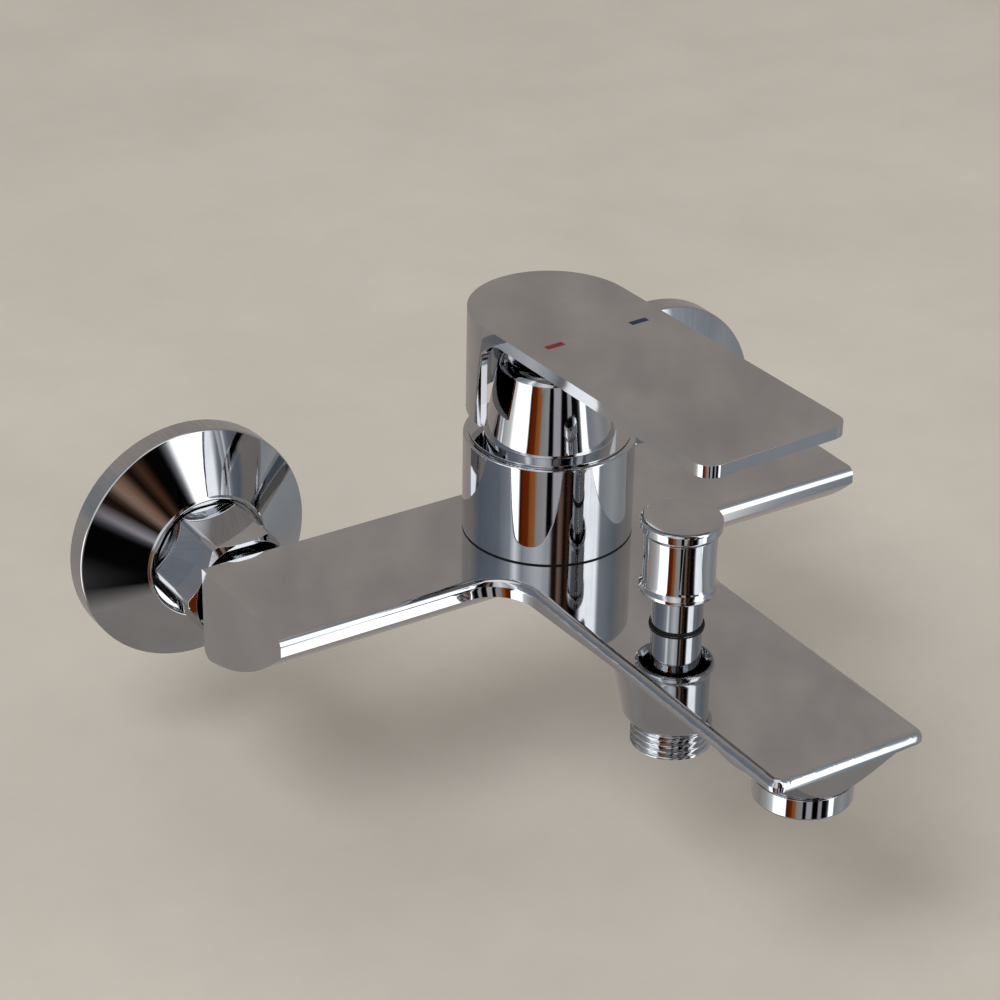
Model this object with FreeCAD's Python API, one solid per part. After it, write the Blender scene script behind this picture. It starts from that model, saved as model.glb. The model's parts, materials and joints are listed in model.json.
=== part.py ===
import FreeCAD, Part
import math
import os
from FreeCAD import Vector

# Wall mounted bath and shower mixer with a flat blade lever and a pull-up diverter.
# Millimetres. +Z is up, +X is the right-hand side of a person facing the wall, the wall is the
# plane Y = 0 and the mixer stands out of it towards -Y. The origin is on the wall, midway
# between the two supply pipes. Heights below are measured from the mixer's own inlet axis,
# which the eccentric unions hold union_offset above the supply pipes, and lift() adds that.

# --- driving dimensions: overall ---
inlet_spacing = 150.0        # between the two inlets, the standard for wall mixers
union_offset = 7.5           # eccentricity of each union
arm_overhang = 14.0          # cross arm's square ends beyond the inlets
arm_back = 38.3              # wall to the back of the cross arm
arm_front = 80.0             # wall to the front edge of the cross arm
spout_reach = 193.0          # wall to the front edge of the spout
spout_width = 45.0
deck_height = 12.0           # flat top of arm and spout above the inlet axis
arm_depth = 26.5             # height of the arm's flat back
arm_edge = 4.5               # height of the arm's front edge
arm_belly = 3.8              # how far the arm's underside bulges past a straight line
arm_half_length = inlet_spacing / 2 + arm_overhang
deck_round = 2.2             # rounding of the deck's front and side edges
arm_heel_round = 3.0         # rounding where the arm's back meets its underside
crotch_radius = 12.0         # hollow corner between arm and spout, seen from above
spout_corner = 3.0           # rounded front corners of the spout, seen from above
spout_edge = 2.7             # height of the spout's side and front edge near its end
spout_side = 4.2             # height of the spout's side edge where it leaves the arm
keel_radius = 12.0           # round bottom between the spout's two slanting undersides
keel_wall = 2.7              # metal below the waterways in the spout
spout_tip_belly = 0.8        # depth of the underside below the front edge, at the front

# --- clearances ---
thread_gap = 0.03            # between a screw thread and its hole, both drawn at full diameter
running_gap = 0.06           # a shaft in its guide
loose_gap = 0.35             # pieces that pass each other without touching
face_gap = 0.2               # parallel faces that slide over each other

# --- wall side ---
wall_thread_radius = 10.48   # G 1/2
wall_thread_length = 16.0
union_bore_radius = 7.0
union_knee_front = 11.0      # wall to the front of the slanting middle
union_knee_back = 3.0
union_thread_radius = 13.22  # G 3/4
nut_side_wall = 1.28         # metal between the thread and a flat
nut_corner_cut = 0.54        # corners turned down
nut_back = 14.0
nut_front = 36.0
nut_wall = 2.8
nut_chamfer = 1.6
washer_thickness = 2.5
collar_thickness = 2.6
collar_neck_radius = 9.4
tail_radius = 10.0
tail_length = 8.8
tail_bore_radius = 6.0
union_front = nut_front - nut_wall - collar_thickness - washer_thickness
nut_flats = 2 * (union_thread_radius + nut_side_wall)
nut_corner_radius = nut_flats / math.sqrt(3) - nut_corner_cut
escutcheon_radius = 33.2
escutcheon_lip = 6.2
escutcheon_round = 0.9
escutcheon_depth = 15.4
escutcheon_wall = 1.0
escutcheon_roll = 1.3        # rolled edge round the nut
escutcheon_nut_gap = 0.6     # between its threaded web and the nut's back

# --- cartridge and its cover ---
cartridge_reach = 63.2       # wall to the cartridge axis
seat_height = 12.5
cartridge_radius = 17.5      # 35 mm class
cartridge_play = 0.15        # round the cartridge in its well
cartridge_shoulder = 31.0
cartridge_collar_radius = 12.8
cartridge_collar_top = 44.5
housing_wall = 2.4
housing_roof = 2.0
neck_wall = 1.3
neck_top = 34.5
nut_thread_step = 1.35       # ring nut's thread outside the cartridge
ring_nut_head_step = 1.95    # its head inside its thread
ring_nut_head_height = 3.7
spanner_slot = 3.0
spanner_slot_depth = 1.4
grip_ring_section = 0.7
grip_ring_play = 0.1
base_thickness = 2.5
base_lift = 0.3              # the port seals hold the base this far off its seat
seal_radius = 4.6
seal_wall = 1.0
seal_depth = 1.0
port_radius = 3.2
inlet_port = (5.6, 4.4)      # sideways and backwards from the axis
outlet_port = (0.0, -6.6)
lower_disc_radius = 14.4
lower_disc_thickness = 2.8
upper_disc_radius = 11.2
upper_disc_thickness = 2.3
mixing_pocket_radius = 8.0
mixing_pocket_depth = 1.3
mixing_pocket_offset = 1.2   # forward of the disc's middle
carrier_radius = 11.6
carrier_thickness = 5.0
carrier_floor = 0.6
rotor_radius = 14.2
rotor_collar_radius = 10.8
rotor_recess = 0.5           # rotor's collar below the housing's
pivot_height = 42.0          # of the stem's cross pin
stem_width = 7.4
stem_corner_round = 0.8
stem_shank_radius = 2.6
stem_ball_radius = 3.0
stem_pin_radius = 1.5
sleeve_neck_gap = 0.92
sleeve_wall = 1.3
sleeve_gasket_thickness = 0.4
sleeve_top = 39.7
sleeve_ledge = 39.3          # the cap's flange rests here
sleeve_ledge_thickness = 1.2
sleeve_round = 0.6
cap_flange_gap = 0.15
cap_flange_thickness = 0.9
cap_skirt_wall = 1.6
dome_lean = 3.5              # the dome's foot outside its top
dome_top = 61.0
dome_wall = 1.3
dome_round = 3.0
dome_hole_gap = 0.9          # round the swinging stem
dome_hole_front = 3.0        # the stem swings over the part of the hole behind this line
dome_skirt_lift = 0.6        # cap's skirt above the body's neck
nut_thread_radius = cartridge_radius + nut_thread_step
neck_radius = nut_thread_radius + thread_gap + neck_wall
sleeve_radius = neck_radius + sleeve_neck_gap + sleeve_wall
sleeve_base = deck_height + sleeve_gasket_thickness
ring_nut_head_radius = nut_thread_radius - ring_nut_head_step
ring_nut_head_top = neck_top + ring_nut_head_height
cap_flange_radius = sleeve_radius - sleeve_wall - cap_flange_gap
dome_base_radius = ring_nut_head_radius
dome_top_radius = dome_base_radius - dome_lean

# --- lever ---
lever_turn_at_rest = 2.4     # degrees, the blade stands this far towards +X
lever_lift_range = 15.0      # degrees
lever_inset = 0.6            # lever's half width inside the sleeve
lever_reach = 90.4           # cartridge axis to the front edge
lever_top = 75.0
blade_thickness = 3.2
blade_corner = 4.5
skirt_wall = 1.8
skirt_bottom = 46.7
skirt_arch = 8.0             # round corner between skirt and blade
socket_wall = 1.57
socket_bottom = 64.3
socket_depth = 7.0
mark_length = 5.3
mark_width = 1.9
mark_depth = 0.4
mark_side = 13.0             # from the lever's middle line
mark_forward = 18.8          # from the cartridge axis
set_screw_radius = 2.0
set_screw_length = 2.9
set_screw_key = 2.0
lever_radius = sleeve_radius - lever_inset
socket_radius = stem_width / math.sqrt(2) + socket_wall
swing_slope = math.tan(math.radians(lever_lift_range))
stem_hole_radius = stem_width / math.sqrt(2) + dome_hole_gap
swing_hole_radius = (dome_top - pivot_height) * swing_slope + stem_width / 2 + dome_hole_gap

# --- diverter ---
diverter_reach = 122.3
boss_bottom = -15.5
boss_wall = 1.9
boss_top = 3.0
boss_lean = 3.9              # the bell's top outside its foot
boss_round = 5.0
outlet_thread_radius = 10.48  # G 1/2
outlet_bottom = -22.2
outlet_thread_top = -15.0
outlet_shank_step = 0.48
outlet_lead_round = 0.4      # at the foot of the thread
outlet_seat = -10.5
outlet_bore_radius = 6.6
valve_chamber_radius = 8.6
upper_seat = 3.0
upper_bore_radius = 6.3
bonnet_thread_radius = 7.0
bonnet_thread_bottom = 8.0
bonnet_neck_radius = 6.5
bonnet_top = 32.2
packing_depth = 4.2          # bonnet's top to the middle of its seal
neck_ring_thickness = 0.6
neck_ring_radius = 6.95
spindle_radius = 2.5
spindle_top = 38.4
valve_washer_thickness = 2.0
piston_thickness = 2.0
spindle_foot_radius = 3.6
spindle_foot_length = 2.4
spindle_collar_length = 1.2
spindle_ring_section = 0.9
spring_radius = 4.6
spring_wire = 0.45
spring_turns = 5
spring_pocket_gap = 0.3
spring_pocket_depth = 3.0
knob_bottom = 22.3
knob_foot_radius = 10.0
knob_foot_top = 23.6
knob_foot_edge = 0.4         # chamfer under the foot
knob_flare_radius = 9.2      # where the flare over the foot ends
knob_flare_top = 25.6
knob_waist_radius = 9.1
knob_waist = 29.5
knob_shoulder_radius = 9.3
knob_shoulder = 38.6
knob_cavity_radius = 8.0
knob_cavity_top = 33.0
knob_mouth_radius = 9.2
knob_mouth_depth = 2.2
knob_cap_radius = 10.3
knob_cap_top = 42.4
knob_cap_round = 0.9
knob_groove = 0.5            # height and twice the depth of the groove under the cap
valve_piston_gap = 0.5
seat_overlap = 1.3           # washers outside their seats

# --- spout outlet ---
aerator_setback = 17.4       # spout's front edge to the outlet's axis
aerator_ring_step = 1.4      # ring outside its thread
aerator_ring_top = -1.4
aerator_groove_height = 0.5  # between the ring and the cone above it
aerator_groove_depth = 0.6
aerator_ring_bottom = -7.6
aerator_ring_round = 0.7
aerator_thread_radius = 11.0
aerator_thread_top = 3.0
aerator_wall = 1.5
aerator_lip = 0.9
aerator_floor = 1.2
aerator_grid = 2.5
aerator_gasket_thickness = 1.5
aerator_hole_radius = 0.8
aerator_hole_pitch = 2.6
nozzle_top_radius = 23.0     # of the cone above the outlet ring
nozzle_top = 9.0
aerator_reach = spout_reach - aerator_setback
outlet_shank_radius = outlet_thread_radius - outlet_shank_step
aerator_ring_radius = aerator_thread_radius + aerator_ring_step

# --- waterways ---
cross_bore_radius = 4.4
cross_bore_height = 1.8
cross_bore_stop = 3.6        # wall left either side of the middle
forward_bore_radius = 3.2
forward_bore_height = -0.6
spout_bore_radius = 2.4
spout_bore_height = 5.5
bore_overrun = 1.0           # drillings run on past what they meet

UP = Vector(0, 0, 1)
OUT = Vector(0, -1, 0)
RIGHT = Vector(1, 0, 0)
pieces = {}


def rod(radius, low, high, x=0.0, y=0.0):
    """An upright cylinder."""
    return Part.makeCylinder(radius, high - low, Vector(x, y, low), UP)


def ring(outer, inner, low, high, x=0.0, y=0.0):
    return rod(outer, low, high, x, y).cut(rod(inner, low - 1, high + 1, x, y))


def bar(radius, start, end):
    """A cylinder between two points."""
    run = end.sub(start)
    return Part.makeCylinder(radius, run.Length, start, run)


def block(x0, x1, y0, y1, z0, z1):
    return Part.makeBox(x1 - x0, y1 - y0, z1 - z0, Vector(x0, y0, z0))


def closed(points):
    return Part.makePolygon(points + [points[0]])


def turned(profile, x=0.0, y=0.0):
    """Revolves (radius, height) points about the upright axis through x, y."""
    face = Part.Face(closed([Vector(x + r, y, z) for r, z in profile]))
    return face.revolve(Vector(x, y, 0), UP, 360)


def turned_wire(edges, x=0.0, y=0.0):
    """Revolves a wire drawn in the plane Y = 0 about the upright axis, and moves it to x, y."""
    solid = Part.Face(Part.Wire(edges)).revolve(Vector(0, 0, 0), UP, 360)
    solid.translate(Vector(x, y, 0))
    return solid


def to_wall_axis(shape, x, z):
    """Lays an upright piece, drawn with its height as distance from the wall, along -Y."""
    shape = shape.copy()
    shape.rotate(Vector(0, 0, 0), RIGHT, 90)
    shape.translate(Vector(x, 0, z))
    return shape


def line(a, b):
    return Part.LineSegment(a, b).toShape()


def arc(a, b, c):
    return Part.Arc(a, b, c).toShape()


def round_edges(shape, radius, wanted):
    return shape.makeFillet(radius, [e for e in shape.Edges if wanted(e)])


def is_circle(edge, radius, height):
    curve = edge.Curve
    return (
        isinstance(curve, Part.Circle)
        and abs(curve.Radius - radius) < 1e-6
        and abs(edge.CenterOfMass.z - height) < 1e-6
    )


def keep(name, shape):
    """Files a piece under its name, with the mixer's axis raised to its height over the pipes."""
    shape = shape.copy()
    shape.translate(Vector(0, 0, union_offset))
    pieces[name] = shape


def with_lever(shape):
    """Turns a piece that follows the lever about the cartridge axis, to where the lever stands."""
    shape = shape.copy()
    shape.rotate(Vector(0, -cartridge_reach, 0), UP, lever_turn_at_rest)
    return shape


# --- mixer body ---

def arm_solid():
    """The cross arm: one section, flat on top and at the back, bulging below, along X."""
    x = -arm_half_length
    heel = deck_height - arm_depth
    toe = deck_height - arm_edge
    back_top = Vector(x, -arm_back, deck_height)
    back_low = Vector(x, -arm_back, heel)
    front_low = Vector(x, -arm_front, toe)
    front_top = Vector(x, -arm_front, deck_height)
    chord = front_low.sub(back_low)
    away = Vector(0, chord.z, -chord.y).normalize()
    if away.z > 0:
        away = away.multiply(-1)
    middle = back_low.add(chord.multiply(0.5)).add(away.multiply(arm_belly))
    edges = [
        line(back_top, back_low),
        arc(back_low, middle, front_low),
        line(front_low, front_top),
        line(front_top, back_top),
    ]
    solid = Part.Face(Part.Wire(edges)).extrude(Vector(2 * arm_half_length, 0, 0))
    return round_edges(
        solid,
        arm_heel_round,
        lambda e: abs(e.CenterOfMass.y + arm_back) < 1e-6 and abs(e.CenterOfMass.z - heel) < 1e-6,
    )


def spout_section(reach, edge, belly):
    """Across the spout: flat top, two short sides, and slopes that meet in a round keel."""
    half = spout_width / 2
    low = deck_height - edge
    keel = belly + keel_radius
    away = math.hypot(half, low - keel)
    touch = math.atan2(low - keel, half) - math.acos(keel_radius / away)

    def at(x, z):
        return Vector(x, -reach, z)

    side = keel_radius * math.cos(touch)
    height = keel + keel_radius * math.sin(touch)
    return Part.Wire([
        line(at(-half, deck_height), at(half, deck_height)),
        line(at(half, deck_height), at(half, low)),
        line(at(half, low), at(side, height)),
        arc(at(side, height), at(0, belly), at(-side, height)),
        line(at(-side, height), at(-half, low)),
        line(at(-half, low), at(-half, deck_height)),
    ])


def spout_solid():
    """The spout, from under the cartridge to its front edge, with rounded corners in plan."""
    under_forward_bore = forward_bore_height - forward_bore_radius - keel_wall
    under_spout_bore = spout_bore_height - spout_bore_radius - keel_wall
    tip_belly = deck_height - spout_edge - spout_tip_belly
    sections = [
        spout_section(cartridge_reach, spout_side, under_forward_bore - keel_wall),
        spout_section((arm_front + diverter_reach) / 2, spout_side, under_forward_bore),
        spout_section((diverter_reach + aerator_reach) / 2, spout_edge, under_spout_bore),
        spout_section(aerator_reach, spout_edge, under_spout_bore + spout_edge),
        spout_section(spout_reach, spout_edge, tip_belly),
    ]
    solid = Part.makeLoft(sections, True, False)
    return round_edges(
        solid,
        spout_corner,
        lambda e: abs(e.CenterOfMass.y + spout_reach) < 1e-3
        and abs(abs(e.CenterOfMass.x) - spout_width / 2) < 1e-3,
    )


def crotch_solid(side):
    """The hollow corner in plan between the arm's front edge and one side of the spout."""
    x = side * spout_width / 2
    r = crotch_radius
    inside = Vector(x - side, -arm_front + 1.0, deck_height)
    on_arm = Vector(x + side * r, -arm_front, deck_height)
    on_spout = Vector(x, -arm_front - r, deck_height)
    centre = Vector(x + side * r, -arm_front - r, deck_height)
    slant = r / math.sqrt(2)
    middle = centre.add(Vector(-side * slant, slant, 0))
    edges = [
        line(inside, Vector(on_arm.x, inside.y, deck_height)),
        line(Vector(on_arm.x, inside.y, deck_height), on_arm),
        arc(on_arm, middle, on_spout),
        line(on_spout, Vector(inside.x, on_spout.y, deck_height)),
        line(Vector(inside.x, on_spout.y, deck_height), inside),
    ]
    return Part.Face(Part.Wire(edges)).extrude(Vector(0, 0, -arm_edge))


def diverter_boss():
    """The bell under the diverter that holds the shower outlet."""
    foot = outlet_thread_radius + boss_wall
    place = Vector(0, -diverter_reach, boss_bottom)
    solid = Part.makeCone(foot, foot + boss_lean, boss_top - boss_bottom, place, UP)
    return round_edges(solid, boss_round, lambda e: is_circle(e, foot, boss_bottom))


def nozzle_cone():
    """The cone between the spout's end and the outlet ring, flattened along the front edge."""
    cone = Part.makeCone(
        aerator_ring_radius,
        nozzle_top_radius,
        nozzle_top - aerator_ring_top,
        Vector(0, -aerator_reach, aerator_ring_top),
        UP,
    )
    ahead = -(aerator_reach + aerator_ring_radius)
    flank = [
        Vector(-spout_width, ahead, aerator_ring_top),
        Vector(-spout_width, -spout_reach + deck_round / 2, nozzle_top),
        Vector(-spout_width, -diverter_reach, nozzle_top),
        Vector(-spout_width, -diverter_reach, aerator_ring_top),
    ]
    wedge = Part.Face(closed(flank)).extrude(Vector(2 * spout_width, 0, 0))
    sides = block(
        -spout_width / 2 + deck_round / 4,
        spout_width / 2 - deck_round / 4,
        -spout_reach,
        -diverter_reach,
        aerator_ring_top,
        nozzle_top,
    )
    return cone.common(wedge).common(sides)


def outer_body():
    solid = arm_solid().fuse([spout_solid(), crotch_solid(1), crotch_solid(-1)])
    solid = solid.removeSplitter()

    def on_outline(e):
        c = e.CenterOfMass
        at_deck = abs(c.z - deck_height) < 1e-6 and e.BoundBox.ZLength < 1e-6
        at_back = abs(c.y + arm_back) < 1e-6
        at_end = abs(abs(c.x) - arm_half_length) < 1e-6
        return at_deck and not at_back and not at_end

    solid = round_edges(solid, deck_round, on_outline)
    neck = rod(neck_radius, 0, neck_top, 0, -cartridge_reach)
    return solid.fuse([neck, diverter_boss(), nozzle_cone()])


def waterways():
    """Everything that is bored out of the casting, as one tool."""
    axis = -cartridge_reach
    valve = -diverter_reach
    nozzle = -aerator_reach
    cuts = [
        rod(cartridge_radius + cartridge_play, seat_height, neck_top + 1, 0, axis),
        rod(nut_thread_radius + thread_gap, cartridge_shoulder - face_gap, neck_top + 1, 0, axis),
        rod(port_radius, forward_bore_height, seat_height + 1, outlet_port[0], axis + outlet_port[1]),
        bar(
            forward_bore_radius,
            Vector(0, axis + outlet_port[1] + port_radius + bore_overrun, forward_bore_height),
            Vector(0, valve, forward_bore_height),
        ),
        rod(valve_chamber_radius, outlet_seat, upper_seat, 0, valve),
        rod(outlet_shank_radius + thread_gap, boss_bottom - 1, outlet_seat, 0, valve),
        rod(outlet_thread_radius + thread_gap, boss_bottom - 1, outlet_thread_top, 0, valve),
        rod(upper_bore_radius, upper_seat - 1, bonnet_thread_bottom + 1, 0, valve),
        rod(bonnet_thread_radius + thread_gap, bonnet_thread_bottom, deck_height + 1, 0, valve),
        bar(
            spout_bore_radius,
            Vector(0, valve, spout_bore_height),
            Vector(0, nozzle, spout_bore_height),
        ),
        rod(
            aerator_thread_radius + thread_gap,
            aerator_ring_top - 1,
            aerator_thread_top + aerator_gasket_thickness,
            0,
            nozzle,
        ),
        rod(
            aerator_thread_radius - aerator_wall,
            aerator_thread_top,
            spout_bore_height + spout_bore_radius,
            0,
            nozzle,
        ),
    ]
    for side in (-1, 1):
        x = side * inlet_spacing / 2
        behind = axis + inlet_port[1]
        cuts += [
            bar(
                tail_radius + thread_gap,
                Vector(x, -arm_back + 1, 0),
                Vector(x, -arm_back - tail_length, 0),
            ),
            bar(tail_bore_radius, Vector(x, -arm_back, 0), Vector(x, behind, 0)),
            bar(
                cross_bore_radius,
                Vector(x, behind, cross_bore_height),
                Vector(side * cross_bore_stop, behind, cross_bore_height),
            ),
            rod(port_radius, cross_bore_height, seat_height + 1, side * inlet_port[0], behind),
        ]
    return cuts


def make_body():
    keep("mixer_body", outer_body().cut(waterways()))


# --- wall side: unions, nuts, washers, inlet tails and escutcheons ---

def circle_wire(radius, reach, z):
    return Part.Wire(Part.makeCircle(radius, Vector(0, -reach, z), OUT))


def eccentric_union():
    """Threaded into the wall on one axis and into the nut on another, union_offset higher."""
    low = -union_offset

    def core(wall_radius, knee_radius, nut_radius, overrun):
        back = bar(
            wall_radius,
            Vector(0, wall_thread_length + overrun, low),
            Vector(0, -union_knee_back, low),
        )
        knee = Part.makeLoft(
            [
                circle_wire(knee_radius, union_knee_back, low),
                circle_wire(knee_radius, union_knee_front, 0),
            ],
            True,
        )
        front = bar(
            nut_radius,
            Vector(0, -union_knee_front, 0),
            Vector(0, -union_front - overrun, 0),
        )
        return back.fuse([knee, front])

    outer = core(wall_thread_radius, wall_thread_radius, union_thread_radius, 0)
    inner = core(union_bore_radius, union_bore_radius, union_bore_radius, 1)
    return outer.cut(inner).removeSplitter()


def union_nut():
    across = nut_flats / math.sqrt(3)
    hexagon = [
        Vector(across * math.cos(math.radians(a)), across * math.sin(math.radians(a)), nut_back)
        for a in range(0, 360, 60)
    ]
    solid = Part.Face(closed(hexagon)).extrude(Vector(0, 0, nut_front - nut_back))
    r = nut_corner_radius
    envelope = turned([
        (0, nut_back),
        (r - nut_chamfer, nut_back),
        (r, nut_back + nut_chamfer),
        (r, nut_front - nut_chamfer),
        (r - nut_chamfer, nut_front),
        (0, nut_front),
    ])
    solid = solid.common(envelope)
    solid = solid.cut(rod(union_thread_radius + thread_gap, nut_back - 1, nut_front - nut_wall))
    return solid.cut(rod(collar_neck_radius + loose_gap, nut_back, nut_front + 1))


def inlet_tail():
    """Screwed into the arm, with a collar that the nut pulls against the union."""
    collar_front = nut_front - nut_wall
    solid = rod(union_thread_radius - loose_gap, collar_front - collar_thickness, collar_front)
    solid = solid.fuse([
        rod(collar_neck_radius, collar_front - 1, arm_back + 1),
        rod(tail_radius, arm_back, arm_back + tail_length),
    ])
    return solid.cut(rod(tail_bore_radius, collar_front - collar_thickness - 1, arm_back + tail_length + 1))


def inlet_washer():
    return ring(
        union_thread_radius - loose_gap,
        union_bore_radius,
        union_front,
        union_front + washer_thickness,
    )


def escutcheon():
    """A rose with an upright lip, a cone, an edge rolled round the nut, and a threaded web."""
    inner = nut_corner_radius + loose_gap
    hub = union_thread_radius + thread_gap
    web_front = nut_back - escutcheon_nut_gap
    web_back = union_knee_front + loose_gap
    t = escutcheon_wall
    profile = [
        (escutcheon_radius, 0),
        (escutcheon_radius, escutcheon_lip - escutcheon_round),
        (escutcheon_radius - escutcheon_round, escutcheon_lip),
        (inner + escutcheon_roll, escutcheon_depth - escutcheon_roll / 2),
        (inner + escutcheon_roll / 2, escutcheon_depth),
        (inner, escutcheon_depth - escutcheon_roll / 2),
        (inner, web_front),
        (hub, web_front),
        (hub, web_back),
        (inner + escutcheon_roll / 2, web_back),
        (escutcheon_radius - escutcheon_round - t, escutcheon_lip - t),
        (escutcheon_radius - t, escutcheon_lip - escutcheon_round - t),
        (escutcheon_radius - t, 0),
    ]
    return turned(profile)


def make_wall_side():
    for side, word in ((-1, "left"), (1, "right")):
        x = side * inlet_spacing / 2
        union = eccentric_union()
        union.translate(Vector(x, 0, 0))
        keep(word + "_union", union)
        keep(word + "_union_nut", to_wall_axis(union_nut(), x, 0))
        keep(word + "_inlet_washer", to_wall_axis(inlet_washer(), x, 0))
        keep(word + "_inlet_tail", to_wall_axis(inlet_tail(), x, 0))
        keep(word + "_escutcheon", to_wall_axis(escutcheon(), x, 0))


# --- cartridge ---

base_bottom = seat_height + base_lift
base_top = base_bottom + base_thickness
lower_disc_top = base_top + lower_disc_thickness
upper_disc_top = lower_disc_top + upper_disc_thickness
carrier_top = upper_disc_top + carrier_thickness
stem_ball_height = upper_disc_top + carrier_floor + stem_ball_radius + loose_gap
stem_arm = pivot_height - stem_ball_height
disc_travel = stem_arm * math.sin(math.radians(lever_lift_range))
rotor_top = cartridge_shoulder - housing_roof - face_gap
PORTS = [(-inlet_port[0], inlet_port[1]), inlet_port, outlet_port]


def port_holes(radius, low, high):
    return [rod(radius, low, high, x, y - cartridge_reach) for x, y in PORTS]


def make_cartridge():
    axis = -cartridge_reach
    inside = cartridge_radius - housing_wall
    roof = cartridge_shoulder - housing_roof
    housing = ring(cartridge_radius, inside, base_top, cartridge_shoulder, 0, axis)
    top = ring(cartridge_radius, rotor_collar_radius + running_gap, roof, cartridge_shoulder, 0, axis)
    collar = ring(
        cartridge_collar_radius,
        rotor_collar_radius + running_gap,
        roof,
        cartridge_collar_top,
        0,
        axis,
    )
    keep("cartridge_housing", housing.fuse([top, collar]).removeSplitter())

    base = rod(cartridge_radius, base_bottom, base_top, 0, axis)
    base = base.cut(port_holes(port_radius, base_bottom - 1, base_top + 1))
    base = base.cut(port_holes(seal_radius, base_bottom - 1, seat_height + seal_depth))
    keep("cartridge_base", base)
    seals = [
        ring(seal_radius, seal_radius - seal_wall, seat_height, seat_height + seal_depth, x, y + axis)
        for x, y in PORTS
    ]
    keep("port_seals", Part.makeCompound(seals))

    lower = rod(lower_disc_radius, base_top, lower_disc_top, 0, axis)
    keep("lower_ceramic_disc", lower.cut(port_holes(port_radius, base_top - 1, lower_disc_top + 1)))

    back = axis + disc_travel / 2
    upper = rod(upper_disc_radius, lower_disc_top, upper_disc_top, 0, back)
    pocket = rod(
        mixing_pocket_radius,
        lower_disc_top - 1,
        lower_disc_top + mixing_pocket_depth,
        0,
        back - mixing_pocket_offset,
    )
    keep("upper_ceramic_disc", with_lever(upper.cut(pocket)))

    carrier = rod(carrier_radius, upper_disc_top, carrier_top, 0, back)
    floor = upper_disc_top + carrier_floor
    socket = rod(stem_ball_radius + loose_gap, floor, carrier_top + 1, 0, axis)
    keep("disc_carrier", with_lever(carrier.cut(socket)))

    rotor_low = carrier_top + face_gap
    collar_high = cartridge_collar_top - rotor_recess
    rotor = rod(rotor_radius, rotor_low, rotor_top, 0, axis)
    rotor = rotor.fuse(rod(rotor_collar_radius, rotor_low, collar_high, 0, axis))
    half = stem_width / 2 + loose_gap
    swing = disc_travel + stem_ball_radius + loose_gap
    lean_back = (cartridge_collar_top - pivot_height) * swing_slope
    slot = block(
        -half,
        half,
        axis - swing,
        axis + half + lean_back,
        carrier_top - 1,
        cartridge_collar_top + 1,
    )
    pin_bore = bar(
        stem_pin_radius,
        Vector(-rotor_collar_radius + loose_gap, axis, pivot_height),
        Vector(rotor_collar_radius - loose_gap, axis, pivot_height),
    )
    keep("stem_guide", with_lever(rotor.cut([slot, pin_bore])))
    keep("stem_pin", with_lever(pin_bore))


def make_stem():
    """Square above the pivot pin, round below it, with a ball that shifts the discs."""
    axis = -cartridge_reach
    half = stem_width / 2
    square = block(
        -half,
        half,
        axis - half,
        axis + half,
        pivot_height - half,
        socket_bottom + socket_depth,
    )
    square = round_edges(square, stem_corner_round, lambda e: e.BoundBox.ZLength > stem_width)
    shank = rod(stem_shank_radius, stem_ball_height, pivot_height, 0, axis)
    ball = Part.makeSphere(stem_ball_radius, Vector(0, axis, stem_ball_height))
    hole = bar(
        stem_pin_radius + running_gap,
        Vector(-stem_width, axis, pivot_height),
        Vector(stem_width, axis, pivot_height),
    )
    keep("cartridge_stem", with_lever(square.fuse([shank, ball]).cut(hole)))


# --- ring nut, dome cap and sleeve over the cartridge ---

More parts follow.
